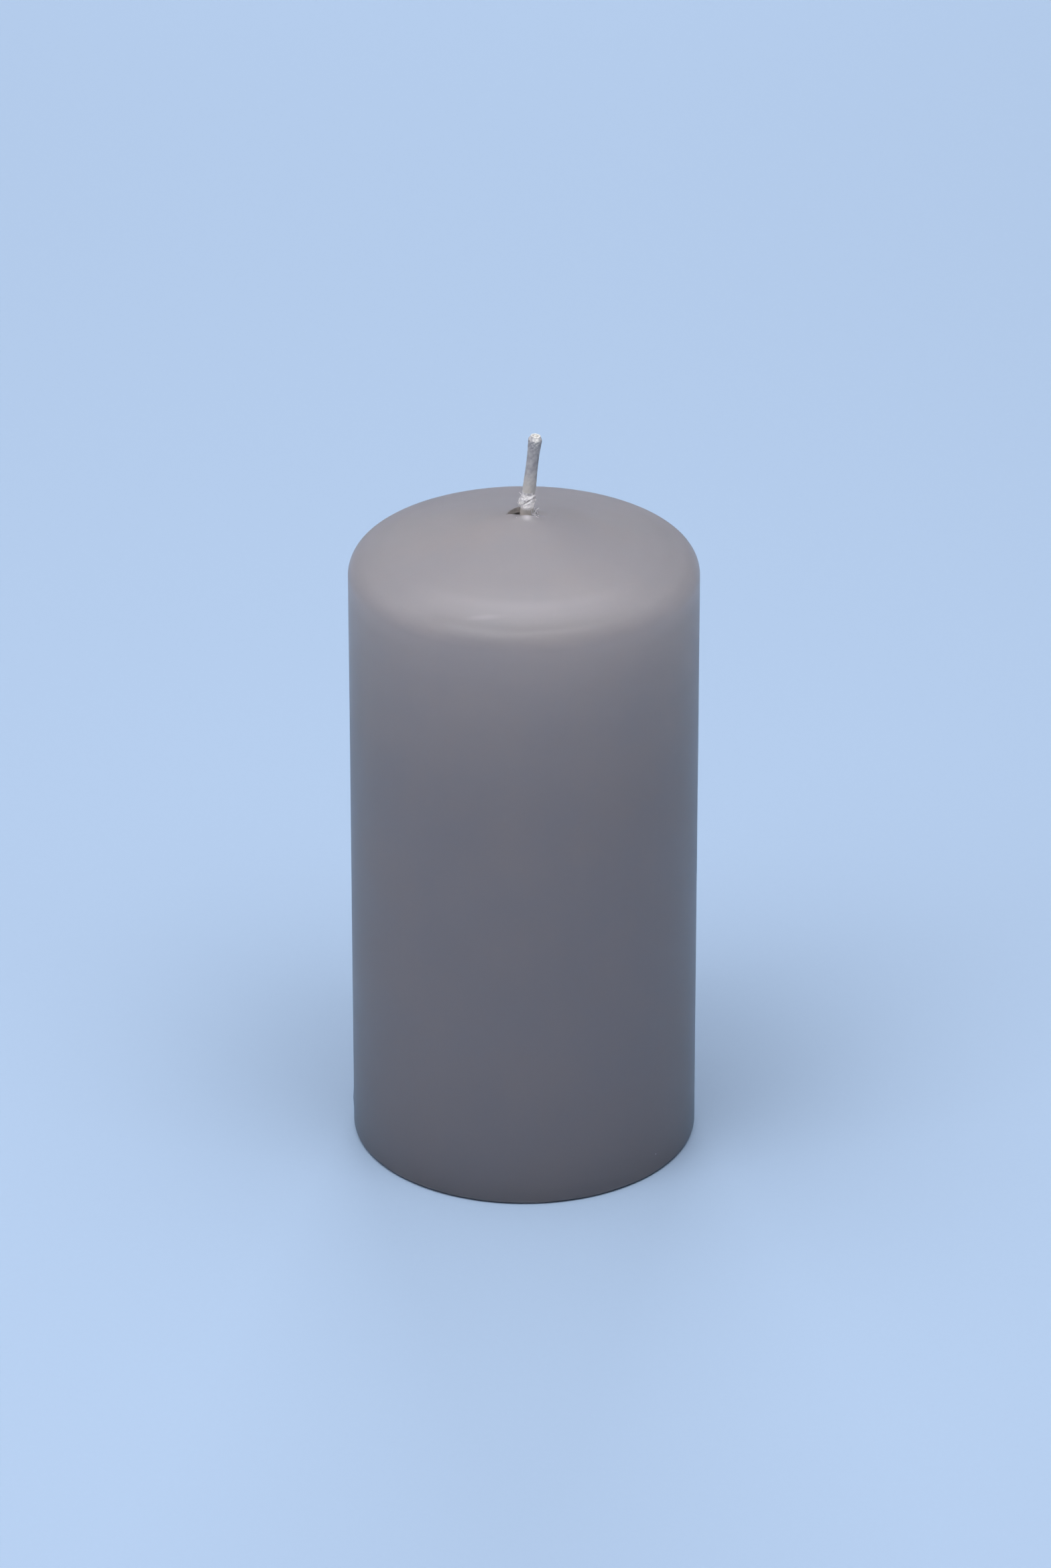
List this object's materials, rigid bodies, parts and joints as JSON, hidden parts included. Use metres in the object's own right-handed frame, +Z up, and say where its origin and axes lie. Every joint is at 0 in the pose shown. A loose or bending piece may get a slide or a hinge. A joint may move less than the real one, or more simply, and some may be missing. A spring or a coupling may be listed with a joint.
{
  "type": "pillar candle",
  "caption": "Dipped pillar candle: a smooth round wax column with a low cone-shaped top and a rounded shoulder, standing on its flat rim, with an upright braided wick.",
  "frame": {"origin": "centre of the base, on the surface the candle stands on", "axes": "+Z up along the candle's axis, towards the wick; +X the way the wick leans; -Y the front in the picture"},
  "size_m": [0.07, 0.07, 0.1551],
  "materials": {
    "grey_wax": "grey dipped paraffin wax, satin",
    "white_wax": "white pressed paraffin granules, matte",
    "steel": "stamped tinned steel",
    "wick_cotton": "braided cotton, waxed grey, white at the cut tip",
    "thread": "plain white cotton thread",
    "collar_wax": "white crumbly wax"
  },
  "bodies": {
    "root": {"colour_coat": "grey_wax", "wax_core": "white_wax", "wick_sustainer": "steel", "wick_braid": "wick_cotton", "wick_core_thread": "thread", "wick_collar": "collar_wax"}
  },
  "joints": []
}
